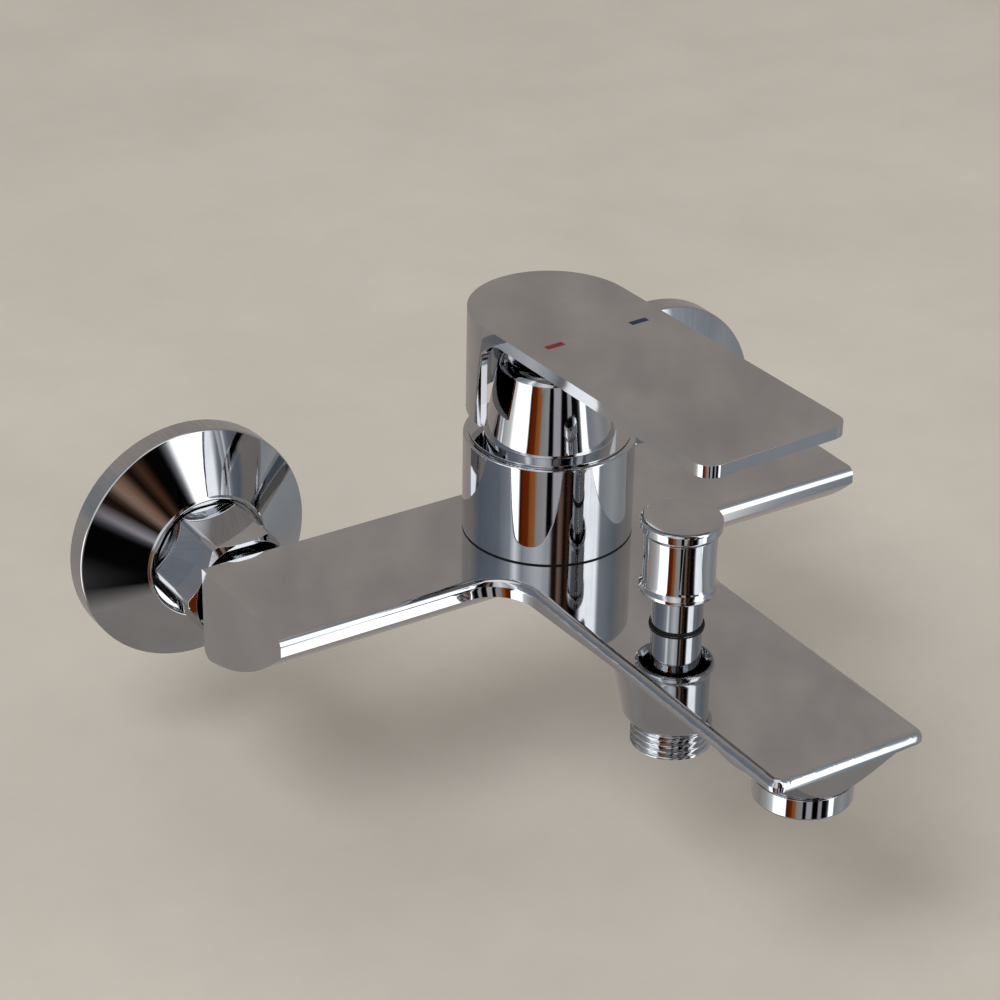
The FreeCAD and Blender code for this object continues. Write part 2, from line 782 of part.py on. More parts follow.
def make_cover():
    axis = -cartridge_reach
    nut = rod(nut_thread_radius, cartridge_shoulder, neck_top, 0, axis)
    nut = nut.fuse(rod(ring_nut_head_radius, neck_top, ring_nut_head_top, 0, axis))
    nut = nut.cut(rod(cartridge_collar_radius + loose_gap, 0, ring_nut_head_top + 1, 0, axis))
    skirt_inner = ring_nut_head_radius + loose_gap
    groove_height = (neck_top + ring_nut_head_top) / 2
    groove_floor = skirt_inner - 2 * grip_ring_section
    half = grip_ring_section + grip_ring_play
    groove = ring(nut_thread_radius, groove_floor, groove_height - half, groove_height + half, 0, axis)
    nut = nut.cut(groove)
    slots = [
        block(
            -nut_thread_radius,
            nut_thread_radius,
            axis - spanner_slot / 2,
            axis + spanner_slot / 2,
            ring_nut_head_top - spanner_slot_depth,
            ring_nut_head_top + 1,
        ),
        block(
            -spanner_slot / 2,
            spanner_slot / 2,
            axis - nut_thread_radius,
            axis + nut_thread_radius,
            ring_nut_head_top - spanner_slot_depth,
            ring_nut_head_top + 1,
        ),
    ]
    keep("cartridge_ring_nut", nut.cut(slots))
    grip = Part.makeTorus(
        groove_floor + grip_ring_section,
        grip_ring_section,
        Vector(0, axis, groove_height),
        UP,
    )
    keep("cap_grip_ring", grip)

    flange_top = sleeve_ledge + cap_flange_thickness
    lean = (dome_base_radius - dome_top_radius) / (dome_top - flange_top)
    profile = [
        (skirt_inner, neck_top + dome_skirt_lift),
        (skirt_inner + cap_skirt_wall, neck_top + dome_skirt_lift),
        (skirt_inner + cap_skirt_wall, sleeve_ledge),
        (cap_flange_radius, sleeve_ledge),
        (cap_flange_radius, flange_top),
        (dome_base_radius, flange_top),
        (dome_top_radius, dome_top),
        (0, dome_top),
        (0, dome_top - dome_wall),
        (dome_top_radius + lean * dome_wall - dome_wall, dome_top - dome_wall),
        (dome_base_radius - dome_wall, sleeve_ledge),
        (skirt_inner, sleeve_ledge - cap_flange_thickness),
    ]
    cap = turned(profile, 0, axis)
    cap = round_edges(cap, dome_round, lambda e: is_circle(e, dome_top_radius, dome_top))
    under_top = dome_top - dome_wall - 1
    stem_hole = rod(stem_hole_radius, under_top, dome_top + 1, 0, axis)
    swing_hole = rod(swing_hole_radius, under_top, dome_top + 1, 0, axis)
    behind = block(
        -swing_hole_radius,
        swing_hole_radius,
        axis - dome_hole_front,
        axis + swing_hole_radius,
        under_top,
        dome_top + 1,
    )
    keep("dome_cap", cap.cut([stem_hole, swing_hole.common(behind)]))

    sleeve = ring(sleeve_radius, sleeve_radius - sleeve_wall, sleeve_base, sleeve_top, 0, axis)
    ledge = ring(
        sleeve_radius - sleeve_wall / 2,
        skirt_inner + cap_skirt_wall + loose_gap,
        sleeve_ledge - sleeve_ledge_thickness,
        sleeve_ledge,
        0,
        axis,
    )
    sleeve = sleeve.fuse(ledge)
    sleeve = round_edges(sleeve, sleeve_round, lambda e: is_circle(e, sleeve_radius, sleeve_top))
    keep("cover_sleeve", sleeve)
    gasket = ring(
        sleeve_radius - thread_gap,
        sleeve_radius - sleeve_wall - thread_gap,
        deck_height,
        sleeve_base,
        0,
        axis,
    )
    keep("sleeve_gasket", gasket)


# --- lever ---

def lever_outline(inset, low, high):
    """The blade in plan: half a circle at the back, straight sides and rounded front corners."""
    r = lever_radius - inset
    axis = -cartridge_reach
    front = axis - lever_reach + inset
    c = blade_corner - inset
    s = c * (1 - math.sqrt(0.5))
    edges = [
        arc(Vector(r, axis, low), Vector(0, axis + r, low), Vector(-r, axis, low)),
        line(Vector(-r, axis, low), Vector(-r, front + c, low)),
        arc(Vector(-r, front + c, low), Vector(-r + s, front + s, low), Vector(-r + c, front, low)),
        line(Vector(-r + c, front, low), Vector(r - c, front, low)),
        arc(Vector(r - c, front, low), Vector(r - s, front + s, low), Vector(r, front + c, low)),
        line(Vector(r, front + c, low), Vector(r, axis, low)),
    ]
    return Part.Face(Part.Wire(edges)).extrude(Vector(0, 0, high - low))


def lever_flank():
    """The lever seen from the side: a thin blade, and a skirt behind the axis."""
    axis = -cartridge_reach
    under = lever_top - blade_thickness
    a = skirt_arch
    s = a * (1 - math.sqrt(0.5))
    x = -lever_radius - 1
    back = axis + lever_radius + 1
    front = axis - lever_reach - 1
    edges = [
        line(Vector(x, back, lever_top), Vector(x, front, lever_top)),
        line(Vector(x, front, lever_top), Vector(x, front, under)),
        line(Vector(x, front, under), Vector(x, axis - a, under)),
        arc(Vector(x, axis - a, under), Vector(x, axis - s, under - s), Vector(x, axis, under - a)),
        line(Vector(x, axis, under - a), Vector(x, axis, skirt_bottom)),
        line(Vector(x, axis, skirt_bottom), Vector(x, back, skirt_bottom)),
        line(Vector(x, back, skirt_bottom), Vector(x, back, lever_top)),
    ]
    return Part.Face(Part.Wire(edges)).extrude(Vector(2 * lever_radius + 2, 0, 0))


def mark_block(side):
    x = side * mark_side
    y = -cartridge_reach - mark_forward
    return block(
        x - mark_length / 2,
        x + mark_length / 2,
        y - mark_width / 2,
        y + mark_width / 2,
        lever_top - mark_depth,
        lever_top,
    )


def make_lever():
    axis = -cartridge_reach
    under = lever_top - blade_thickness
    solid = lever_outline(0, skirt_bottom, lever_top).common(lever_flank())
    solid = solid.cut(rod(lever_radius - skirt_wall, skirt_bottom - 1, under, 0, axis))
    solid = solid.fuse(rod(socket_radius, socket_bottom, under + blade_thickness / 2, 0, axis))
    half = stem_width / 2 + thread_gap
    hole = block(
        -half,
        half,
        axis - half,
        axis + half,
        socket_bottom - 1,
        socket_bottom + socket_depth + loose_gap,
    )
    screw_height = (socket_bottom + under) / 2
    screw_start = Vector(0, axis - stem_width / 2 - thread_gap, screw_height)
    screw = bar(set_screw_radius, screw_start, screw_start.add(Vector(0, -set_screw_length, 0)))
    screw_hole = bar(
        set_screw_radius + thread_gap,
        Vector(0, axis, screw_height),
        Vector(0, axis - socket_radius - 1, screw_height),
    )
    solid = solid.cut([hole, screw_hole, mark_block(1), mark_block(-1)])
    keep("lever", with_lever(solid))
    key = set_screw_key / math.sqrt(3)
    tip = screw_start.add(Vector(0, -set_screw_length, 0))
    hexagon = [
        tip.add(Vector(key * math.cos(math.radians(a)), 0, key * math.sin(math.radians(a))))
        for a in range(0, 360, 60)
    ]
    socket = Part.Face(closed(hexagon)).extrude(Vector(0, set_screw_key, 0))
    keep("lever_set_screw", with_lever(screw.cut(socket)))
    keep("hot_mark", with_lever(mark_block(-1)))
    keep("cold_mark", with_lever(mark_block(1)))


# --- diverter ---

def make_shower_outlet():
    """A threaded nipple; its top rim is the lower valve seat."""
    valve = -diverter_reach
    nipple = rod(outlet_thread_radius, outlet_bottom, outlet_thread_top, 0, valve)
    nipple = round_edges(
        nipple,
        outlet_lead_round,
        lambda e: is_circle(e, outlet_thread_radius, outlet_bottom),
    )
    nipple = nipple.fuse(rod(outlet_shank_radius, outlet_thread_top, outlet_seat, 0, valve))
    keep("shower_outlet", nipple.cut(rod(outlet_bore_radius, outlet_bottom - 1, outlet_seat + 1, 0, valve)))


def make_diverter():
    valve = -diverter_reach
    washer_low = outlet_seat
    piston_low = washer_low + valve_washer_thickness
    washer_high = piston_low + piston_thickness
    stack_top = washer_high + valve_washer_thickness
    collar_top = stack_top + spindle_collar_length
    washer_radius = outlet_bore_radius + seat_overlap

    bonnet = rod(bonnet_thread_radius, bonnet_thread_bottom, deck_height, 0, valve)
    bonnet = bonnet.fuse(rod(bonnet_neck_radius, deck_height - 1, bonnet_top, 0, valve))
    bonnet = bonnet.cut(rod(spindle_radius + running_gap, 0, bonnet_top + 1, 0, valve))
    spring_stop = bonnet_thread_bottom + spring_pocket_depth
    pocket_radius = spring_radius + spring_wire + spring_pocket_gap
    pocket = rod(pocket_radius, 0, spring_stop, 0, valve)
    seal_height = bonnet_top - packing_depth
    packing = ring(
        spindle_radius + running_gap + 2 * spindle_ring_section,
        spindle_radius,
        seal_height - spindle_ring_section,
        seal_height + spindle_ring_section,
        0,
        valve,
    )
    keep("diverter_bonnet", bonnet.cut([packing, pocket]))
    keep(
        "spindle_seal",
        Part.makeTorus(
            spindle_radius + running_gap + spindle_ring_section,
            spindle_ring_section,
            Vector(0, valve, seal_height),
            UP,
        ),
    )
    keep(
        "neck_ring",
        ring(
            neck_ring_radius,
            bonnet_neck_radius,
            deck_height,
            deck_height + neck_ring_thickness,
            0,
            valve,
        ),
    )

    nut_low = washer_low - spindle_foot_length
    spindle_low = washer_low - spindle_foot_length / 2
    spindle = rod(spindle_radius, spindle_low, spindle_top, 0, valve)
    collar_radius = spring_radius + spring_wire
    spindle = spindle.fuse(rod(collar_radius, stack_top, collar_top, 0, valve))
    keep("diverter_spindle", spindle)
    keep(
        "lower_valve_washer",
        ring(washer_radius, spindle_radius, washer_low, piston_low, 0, valve),
    )
    piston_radius = valve_chamber_radius - valve_piston_gap
    keep("valve_piston", ring(piston_radius, spindle_radius, piston_low, washer_high, 0, valve))
    keep(
        "upper_valve_washer",
        ring(washer_radius, spindle_radius, washer_high, stack_top, 0, valve),
    )
    nut = rod(spindle_foot_radius, nut_low, washer_low, 0, valve)
    keep("spindle_nut", nut.cut(rod(spindle_radius, spindle_low, washer_low + 1, 0, valve)))
    keep("diverter_spring", diverter_spring(collar_top, spring_stop))
    make_knob()


def diverter_spring(low, high):
    """A helix of round wire between the spindle's collar and the bonnet."""
    rise = high - low - 2 * spring_wire
    pitch = rise / spring_turns
    helix = Part.makeHelix(pitch, rise, spring_radius)
    section = Part.Wire(Part.makeCircle(spring_wire, Vector(spring_radius, 0, 0), Vector(0, 1, 0)))
    coil = Part.Wire(helix.Edges).makePipeShell([section], True, True)
    coil.translate(Vector(0, -diverter_reach, low + spring_wire))
    return coil


def make_knob():
    """A waisted knob, hollow below to pass over the bonnet's neck, with a cap on top."""
    valve = -diverter_reach
    foot = knob_foot_radius

    def at(r, z):
        return Vector(r, 0, z)

    under_foot = at(foot - knob_foot_edge, knob_bottom)
    foot_low = at(foot, knob_bottom + knob_foot_edge)
    foot_top = at(foot, knob_foot_top)
    flare_top = at(knob_flare_radius, knob_flare_top)
    flare = at(
        knob_flare_radius + (foot - knob_flare_radius) / 4,
        (knob_foot_top + knob_flare_top) / 2,
    )
    shoulder = at(knob_shoulder_radius, knob_shoulder)
    mouth_top = at(knob_cavity_radius, knob_bottom + knob_mouth_depth)
    edges = [
        line(at(knob_mouth_radius, knob_bottom), under_foot),
        line(under_foot, foot_low),
        line(foot_low, foot_top),
        arc(foot_top, flare, flare_top),
        arc(flare_top, at(knob_waist_radius, knob_waist), shoulder),
        line(shoulder, at(0, knob_shoulder)),
        line(at(0, knob_shoulder), at(0, knob_cavity_top)),
        line(at(0, knob_cavity_top), at(knob_cavity_radius, knob_cavity_top)),
        line(at(knob_cavity_radius, knob_cavity_top), mouth_top),
        line(mouth_top, at(knob_mouth_radius, knob_bottom)),
    ]
    knob = turned_wire(edges, 0, valve)
    knob = knob.cut(rod(spindle_radius, knob_cavity_top - 1, spindle_top, 0, valve))
    keep("diverter_knob", knob)
    cap = rod(knob_cap_radius, knob_shoulder + knob_groove, knob_cap_top, 0, valve)
    cap = round_edges(cap, knob_cap_round, lambda e: isinstance(e.Curve, Part.Circle))
    plug_radius = knob_shoulder_radius - 2 * knob_groove
    plug = rod(plug_radius, knob_shoulder, knob_cap_top - knob_cap_round, 0, valve)
    keep("knob_cap", cap.fuse(plug))


# --- spout outlet ---

def make_aerator():
    nozzle = -aerator_reach
    inner = aerator_thread_radius - aerator_wall
    groove_bottom = aerator_ring_top - aerator_groove_height
    groove_radius = aerator_ring_radius - aerator_groove_depth
    shell = rod(aerator_ring_radius, aerator_ring_bottom, groove_bottom, 0, nozzle)
    shell = round_edges(
        shell,
        aerator_ring_round,
        lambda e: is_circle(e, aerator_ring_radius, aerator_ring_bottom),
    )
    shell = shell.fuse([
        rod(groove_radius, groove_bottom - 1, aerator_ring_top, 0, nozzle),
        rod(aerator_thread_radius, aerator_ring_top - 1, aerator_thread_top, 0, nozzle),
    ])
    floor = aerator_ring_bottom + aerator_floor
    shell = shell.cut(rod(inner, floor, aerator_thread_top + 1, 0, nozzle))
    shell = shell.cut(rod(inner - aerator_lip, aerator_ring_bottom - 1, floor + 1, 0, nozzle))
    keep("aerator_housing", shell)

    insert = rod(inner, floor, aerator_thread_top - face_gap, 0, nozzle)
    cup = rod(inner - aerator_wall, floor + aerator_grid, aerator_thread_top, 0, nozzle)
    insert = insert.cut(cup)
    holes = []
    steps = int(inner / aerator_hole_pitch) + 1
    for i in range(-steps, steps + 1):
        for j in range(-steps, steps + 1):
            x = (i + j / 2) * aerator_hole_pitch
            y = j * aerator_hole_pitch * math.sqrt(3) / 2
            if math.hypot(x, y) + 2 * aerator_hole_radius < inner - aerator_lip:
                top = floor + aerator_grid + 1
                holes.append(rod(aerator_hole_radius, floor - 1, top, x, nozzle + y))
    keep("aerator_insert", insert.cut(holes))
    keep(
        "aerator_gasket",
        ring(
            aerator_thread_radius,
            inner - aerator_lip,
            aerator_thread_top,
            aerator_thread_top + aerator_gasket_thickness,
            0,
            nozzle,
        ),
    )


make_body()
make_wall_side()
make_cartridge()
make_stem()
make_cover()
make_lever()
make_shower_outlet()
make_diverter()
make_aerator()

os.makedirs("parts", exist_ok=True)
for name, shape in pieces.items():
    print(f"{name:22s} solids {len(shape.Solids)} valid {shape.isValid()} volume {shape.Volume:10.1f}")
    shape.exportStep("parts/" + name + ".step")
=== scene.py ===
import json
import math

import bmesh
import bpy
import numpy as np
from mathutils import Matrix, Vector


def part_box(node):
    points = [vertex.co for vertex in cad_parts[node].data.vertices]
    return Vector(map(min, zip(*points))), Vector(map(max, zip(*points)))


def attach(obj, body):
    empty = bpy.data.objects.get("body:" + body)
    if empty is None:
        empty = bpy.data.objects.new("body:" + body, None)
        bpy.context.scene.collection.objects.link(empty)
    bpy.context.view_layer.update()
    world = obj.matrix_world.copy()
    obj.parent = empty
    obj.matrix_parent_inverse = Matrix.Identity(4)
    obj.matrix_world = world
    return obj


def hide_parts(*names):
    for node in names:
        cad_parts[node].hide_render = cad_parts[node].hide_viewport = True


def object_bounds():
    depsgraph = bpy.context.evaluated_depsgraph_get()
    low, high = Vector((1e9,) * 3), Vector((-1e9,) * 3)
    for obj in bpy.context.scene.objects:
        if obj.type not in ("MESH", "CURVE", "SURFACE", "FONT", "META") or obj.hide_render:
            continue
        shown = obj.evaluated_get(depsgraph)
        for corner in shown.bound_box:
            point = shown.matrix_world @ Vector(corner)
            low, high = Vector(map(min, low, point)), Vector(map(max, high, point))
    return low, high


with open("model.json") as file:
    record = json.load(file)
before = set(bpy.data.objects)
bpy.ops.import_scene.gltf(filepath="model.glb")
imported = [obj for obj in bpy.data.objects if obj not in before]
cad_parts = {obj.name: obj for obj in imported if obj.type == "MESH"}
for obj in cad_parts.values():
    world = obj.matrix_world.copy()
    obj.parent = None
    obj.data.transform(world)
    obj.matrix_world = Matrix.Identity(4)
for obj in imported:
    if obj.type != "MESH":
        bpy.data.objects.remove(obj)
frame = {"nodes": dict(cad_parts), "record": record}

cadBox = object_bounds()
mm = 0.001
print("frame loaded:", len(frame["nodes"]), "nodes")


# mesh helpers

edgeDegrees = 32  # faces that meet at a larger turn have a hard edge between them
weld = {"grid": 1e-7, "frame": 1e-6, "sliver": 1e-8, "flatDegrees": 0.15}  # lengths in metres


def quadFaces(rows, cols):
    # every cell of a grid of points as one quad; the last row and column join on to the first
    r, c = (k.ravel() for k in np.meshgrid(np.arange(rows), np.arange(cols), indexing="ij"))
    nextR, nextC = (r + 1) % rows, (c + 1) % cols
    quads = np.stack([r * cols + c, r * cols + nextC, nextR * cols + nextC, nextR * cols + c], 1)
    return quads.tolist()


def finishMesh(mesh, sharpDegrees):
    # welds seams and poles, turns the faces outwards and marks the hard edges
    bm = bmesh.new()
    bm.from_mesh(mesh)
    bmesh.ops.remove_doubles(bm, verts=bm.verts, dist=weld["grid"])
    bmesh.ops.dissolve_degenerate(bm, edges=bm.edges, dist=weld["sliver"])
    bmesh.ops.recalc_face_normals(bm, faces=bm.faces)
    bm.to_mesh(mesh)
    bm.free()
    mesh.shade_smooth()
    mesh.set_sharp_from_angle(angle=math.radians(sharpDegrees))


def addPiece(name, grid, node, sharpDegrees=edgeDegrees):
    # a closed grid of points as a piece that stands in for one of the frame's nodes
    rows, cols = grid.shape[:2]
    slot = nodeSlots[node]
    mesh = bpy.data.meshes.new(name)
    mesh.from_pydata(grid.reshape(-1, 3).tolist(), [], quadFaces(rows, cols))
    finishMesh(mesh, sharpDegrees)
    mesh.materials.append(finishes[slot])
    piece = bpy.data.objects.new(name, mesh)
    bpy.context.scene.collection.objects.link(piece)
    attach(piece, bodyOf[node])
    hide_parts(node)
    return piece


def softenEdges(piece, width):
    # breaks the hard edges, then keeps the flats truly flat under the smooth shading
    bevel = piece.modifiers.new("brokenEdges", "BEVEL")
    bevel.width = width
    bevel.segments = 3
    bevel.limit_method = "ANGLE"
    bevel.angle_limit = math.radians(edgeDegrees)
    bevel.use_clamp_overlap = True
    flattenNormals(piece)


def flattenNormals(piece):
    weighted = piece.modifiers.new("flatFaces", "WEIGHTED_NORMAL")
    weighted.mode = "FACE_AREA"
    weighted.weight = 50
    weighted.keep_sharp = True


def roundedProfile(corners, steps=6):
    # a closed profile of (radius, height, rounding): each corner becomes an arc tangent to its two sides
    corners = np.asarray(corners, float)
    points = []
    for i, (r, h, rounding) in enumerate(corners):
        here = np.array([r, h])
        if rounding <= 0:
            points.append(here[None, :])
            continue
        before = corners[i - 1, :2] - here
        after = corners[(i + 1) % len(corners), :2] - here
        before /= np.linalg.norm(before)
        after /= np.linalg.norm(after)
        half = math.acos(np.clip(np.dot(before, after), -1, 1)) / 2
        reach = rounding / math.tan(half)
        middle = (before + after) / np.linalg.norm(before + after)
        centre = here + middle * rounding / math.sin(half)
        start = here + before * reach - centre
        end = here + after * reach - centre
        turn = math.pi - 2 * half
        t = np.linspace(0, 1, steps + 1)[:, None]
        arc = (np.sin((1 - t) * turn) * start + np.sin(t * turn) * end) / math.sin(turn)
        points.append(centre + arc)
    return np.concatenate(points)


def spunGrid(profile, centre, segments):
    # each profile point (radius, reach from the wall) runs round the level axis through centre
    angle = np.linspace(0, 2 * math.pi, segments, endpoint=False)[None, :]
    radius, reach = profile[:, 0:1], profile[:, 1:2]
    across, upward = radius * np.cos(angle), radius * np.sin(angle)
    return np.stack([centre[0] + across, -(reach + 0 * angle), centre[2] + upward], -1)


# material helpers

def linear(hexColour):
    # an sRGB hex colour as linear light
    parts = [int(hexColour[i:i + 2], 16) / 255 for i in (1, 3, 5)]
    return tuple(c / 12.92 if c <= 0.04045 else ((c + 0.055) / 1.055) ** 2.4 for c in parts) + (1,)


def addNode(tree, kind, settings=None, stops=(), **inputs):
    # adds a node, sets its properties and its colour stops, and fills or links each named input;
    # an input called _0, _1 and so on is taken by its number
    node = tree.nodes.new(kind)
    for key, value in (settings or {}).items():
        setattr(node, key, value)
    if stops:
        elements = node.color_ramp.elements
        while len(elements) < len(stops):
            elements.new(0.5)
        for element, (position, colour) in zip(elements, stops):
            element.position = position
            element.color = colour
    for key, value in inputs.items():
        numbered = key[0] == "_" and key[1:].isdigit()
        socket = node.inputs[int(key[1:]) if numbered else key.replace("_", " ")]
        if isinstance(value, bpy.types.NodeSocket):
            tree.links.new(value, socket)
        else:
            socket.default_value = value
    return node


def newMaterial(name, **shaderInputs):
    material = bpy.data.materials.new(name)
    material.use_nodes = True
    tree = material.node_tree
    tree.nodes.clear()
    shader = addNode(tree, "ShaderNodeBsdfPrincipled", **shaderInputs)
    addNode(tree, "ShaderNodeOutputMaterial", Surface=shader.outputs[0])
    place = addNode(tree, "ShaderNodeTexCoord").outputs["Object"]
    return material, tree, shader, place


def polishedChrome():
    # chromium plate over polished brass: a cool mirror, very slightly wavy where the casting was
    # buffed by hand, with dried water haze that dulls small patches
    look = {"base": "#cfd1d4", "haze": "#c3c5c8", "waveSize": 16 * mm, "hazeSize": 22 * mm}
    m, tree, shader, place = newMaterial("polishedChrome", Metallic=1.0)
    haze = addNode(tree, "ShaderNodeTexNoise", Vector=place, Scale=1 / look["hazeSize"],
                   Detail=4.0, Roughness=0.6).outputs[0]
    wave = addNode(tree, "ShaderNodeTexNoise", Vector=place, Scale=1 / look["waveSize"],
                   Detail=1.0, Roughness=0.4).outputs[0]
    colour = addNode(tree, "ShaderNodeValToRGB", Fac=haze, stops=[
        (0.35, linear(look["base"])), (0.75, linear(look["haze"]))]).outputs[0]
    tree.links.new(colour, shader.inputs["Base Color"])
    dull = addNode(tree, "ShaderNodeMapRange", Value=haze, To_Min=0.015, To_Max=0.065).outputs[0]
    tree.links.new(dull, shader.inputs["Roughness"])
    bump = addNode(tree, "ShaderNodeBump", Height=wave, Strength=0.12, Distance=0.06 * mm)
    tree.links.new(bump.outputs[0], shader.inputs["Normal"])
    return m


def turnedBrass():
    # bare free-cutting brass off the lathe: yellow, fine ring marks, brown where it has tarnished
    look = {"bright": "#c9a45c", "tarnish": "#8d6a35", "toolMark": 0.35 * mm, "patch": 9 * mm}
    m, tree, shader, place = newMaterial("turnedBrass", Metallic=1.0)
    patch = addNode(tree, "ShaderNodeTexNoise", Vector=place, Scale=1 / look["patch"],
                    Detail=5.0, Roughness=0.6).outputs[0]
    colour = addNode(tree, "ShaderNodeValToRGB", Fac=patch, stops=[
        (0.38, linear(look["bright"])), (0.78, linear(look["tarnish"]))]).outputs[0]
    tree.links.new(colour, shader.inputs["Base Color"])
    dull = addNode(tree, "ShaderNodeMapRange", Value=patch, To_Min=0.22, To_Max=0.46).outputs[0]
    tree.links.new(dull, shader.inputs["Roughness"])
    rings = addNode(tree, "ShaderNodeTexWave", {"bands_direction": "Y"}, Vector=place,
                    Scale=1 / look["toolMark"] / 20, Distortion=0.6, Detail=2.0).outputs[1]
    bump = addNode(tree, "ShaderNodeBump", Height=rings, Strength=0.25, Distance=0.02 * mm)
    tree.links.new(bump.outputs[0], shader.inputs["Normal"])
    return m


def springSteel():
    # stainless wire and pins: grey, drawn lengthwise, satin
    look = {"light": "#b9bbbc", "dark": "#8f9293", "grain": 0.6 * mm}
    m, tree, shader, place = newMaterial("springSteel", Metallic=1.0)
    grain = addNode(tree, "ShaderNodeTexNoise", Vector=place, Scale=1 / look["grain"],
                    Detail=3.0, Roughness=0.7).outputs[0]
    colour = addNode(tree, "ShaderNodeValToRGB", Fac=grain, stops=[
        (0.3, linear(look["dark"])), (0.7, linear(look["light"]))]).outputs[0]
    tree.links.new(colour, shader.inputs["Base Color"])
    dull = addNode(tree, "ShaderNodeMapRange", Value=grain, To_Min=0.2, To_Max=0.38).outputs[0]
    tree.links.new(dull, shader.inputs["Roughness"])
    return m


def sealRubber():
    # black nitrile: near black, matt, with a little grey bloom and a moulded grain
    look = {"black": "#080808", "bloom": "#191918", "patch": 4 * mm, "grain": 0.4 * mm}
    m, tree, shader, place = newMaterial("sealRubber", Specular_IOR_Level=0.4)
    bloom = addNode(tree, "ShaderNodeTexNoise", Vector=place, Scale=1 / look["patch"],
                    Detail=4.0, Roughness=0.6).outputs[0]
    grain = addNode(tree, "ShaderNodeTexNoise", Vector=place, Scale=1 / look["grain"],
                    Detail=2.0, Roughness=0.5).outputs[0]
    colour = addNode(tree, "ShaderNodeValToRGB", Fac=bloom, stops=[
        (0.4, linear(look["black"])), (0.8, linear(look["bloom"]))]).outputs[0]
    tree.links.new(colour, shader.inputs["Base Color"])
    dull = addNode(tree, "ShaderNodeMapRange", Value=bloom, To_Min=0.5, To_Max=0.72).outputs[0]
    tree.links.new(dull, shader.inputs["Roughness"])
    bump = addNode(tree, "ShaderNodeBump", Height=grain, Strength=0.3, Distance=0.03 * mm)
    tree.links.new(bump.outputs[0], shader.inputs["Normal"])
    return m


def mouldedPlastic(name, light, dark):
    # acetal or nylon from a mould: soft sheen, a trace of flow marks and a fine skin
    look = {"flow": 7 * mm, "skin": 0.5 * mm}
    m, tree, shader, place = newMaterial(name, Subsurface_Weight=0.05, Subsurface_Scale=0.5 * mm)
    flow = addNode(tree, "ShaderNodeTexNoise", Vector=place, Scale=1 / look["flow"],
                   Detail=3.0, Roughness=0.5, Distortion=1.2).outputs[0]
    skin = addNode(tree, "ShaderNodeTexNoise", Vector=place, Scale=1 / look["skin"],
                   Detail=2.0, Roughness=0.5).outputs[0]
    colour = addNode(tree, "ShaderNodeValToRGB", Fac=flow, stops=[
        (0.3, linear(dark)), (0.65, linear(light))]).outputs[0]
    tree.links.new(colour, shader.inputs["Base Color"])
    dull = addNode(tree, "ShaderNodeMapRange", Value=skin, To_Min=0.34, To_Max=0.5).outputs[0]
    tree.links.new(dull, shader.inputs["Roughness"])
    bump = addNode(tree, "ShaderNodeBump", Height=skin, Strength=0.15, Distance=0.02 * mm)
    tree.links.new(bump.outputs[0], shader.inputs["Normal"])
    return m


def aluminaCeramic():
    # lapped alumina discs: warm white, dead flat, a faint speckle in the body
    look = {"body": "#e6e1d6", "speck": "#cfc8ba", "speckSize": 0.5 * mm}
    m, tree, shader, place = newMaterial("aluminaCeramic", IOR=1.76)
    speck = addNode(tree, "ShaderNodeTexNoise", Vector=place, Scale=1 / look["speckSize"],
                    Detail=2.0, Roughness=0.6).outputs[0]
    colour = addNode(tree, "ShaderNodeValToRGB", Fac=speck, stops=[
        (0.35, linear(look["speck"])), (0.6, linear(look["body"]))]).outputs[0]
    tree.links.new(colour, shader.inputs["Base Color"])
    dull = addNode(tree, "ShaderNodeMapRange", Value=speck, To_Min=0.08, To_Max=0.18).outputs[0]
    tree.links.new(dull, shader.inputs["Roughness"])
    return m


def enamelFill(name, deep, bright):
    # stoved enamel in an engraved slot: saturated, softly glossy, pooled a little darker at the rim
    look = {"pool": 1.2 * mm}
    m, tree, shader, place = newMaterial(name, Specular_IOR_Level=0.3)
    pool = addNode(tree, "ShaderNodeTexNoise", Vector=place, Scale=1 / look["pool"],
                   Detail=2.0, Roughness=0.5).outputs[0]
    colour = addNode(tree, "ShaderNodeValToRGB", Fac=pool, stops=[
        (0.3, linear(deep)), (0.7, linear(bright))]).outputs[0]
    tree.links.new(colour, shader.inputs["Base Color"])
    dull = addNode(tree, "ShaderNodeMapRange", Value=pool, To_Min=0.22, To_Max=0.34).outputs[0]
    tree.links.new(dull, shader.inputs["Roughness"])
    return m


finishes = {
    "chrome": polishedChrome(),
    "brass": turnedBrass(),
    "steel": springSteel(),
    "rubber": sealRubber(),
    "white_plastic": mouldedPlastic("whiteAcetal", "#e6e5df", "#d5d3ca"),
    "grey_plastic": mouldedPlastic("greyNylon", "#787b7e", "#5f6265"),
    "ceramic": aluminaCeramic(),
    "hot_red": enamelFill("redEnamel", "#6c061a", "#8a0c26"),
    "cold_blue": enamelFill("blueEnamel", "#05143a", "#0c2656"),
}
nodeSlots = {s["node"]: s["material_slot"] for s in frame["record"]["subparts"]}
for node, thing in frame["nodes"].items():
    thing.data.materials.clear()
    thing.data.materials.append(finishes[nodeSlots[node]])
print("materials made:", len(finishes))


# plated pieces: merged copies of the frame's own meshes, their hard edges broken

# width of the broken edge on each plated piece; polishing leaves none of them sharp
platedPieces = {
    "mixer_body": 0.3 * mm,
    "lever": 0.5 * mm,
    "cover_sleeve": 0.15 * mm,
    "dome_cap": 0.15 * mm,
    "diverter_bonnet": 0.15 * mm,
    "diverter_knob": 0.12 * mm,
    "knob_cap": 0.15 * mm,
    "aerator_housing": 0.12 * mm,
    "left_union_nut": 0.25 * mm,
    "right_union_nut": 0.25 * mm,
    "left_inlet_tail": 0.12 * mm,
    "right_inlet_tail": 0.12 * mm,
}
bodyOf = {node: body for body, nodes in frame["record"]["behaviour"]["bodies"].items() for node in nodes}


